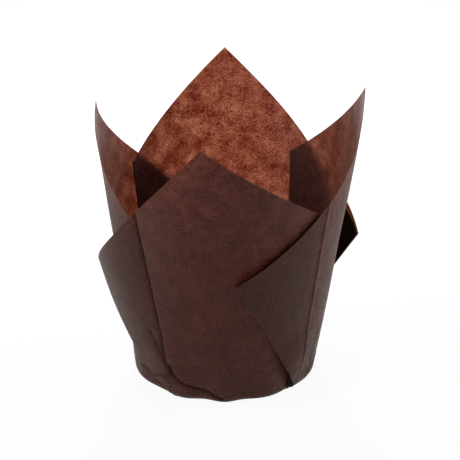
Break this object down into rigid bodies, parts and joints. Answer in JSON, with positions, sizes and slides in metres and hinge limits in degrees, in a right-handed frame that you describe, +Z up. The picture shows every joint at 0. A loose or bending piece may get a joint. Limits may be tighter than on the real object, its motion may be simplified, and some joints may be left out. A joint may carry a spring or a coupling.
{
  "type": "cupcake liner",
  "caption": "Tulip-shaped paper cupcake liner folded from one square sheet, with tall pointed petals and flat pinwheel pleats between them on a round base.",
  "frame": {"origin": "centre of the base, on its flat underside", "axes": "+Z up through the open mouth, +X towards the right petal, +Y towards the back petal, so the front petal is at -Y"},
  "size_m": [0.0736, 0.0786, 0.0814],
  "materials": {
    "paper": "matt brown greaseproof paper, mottled, with a faint sheen"
  },
  "bodies": {
    "root": {"liner": "paper"}
  },
  "joints": []
}
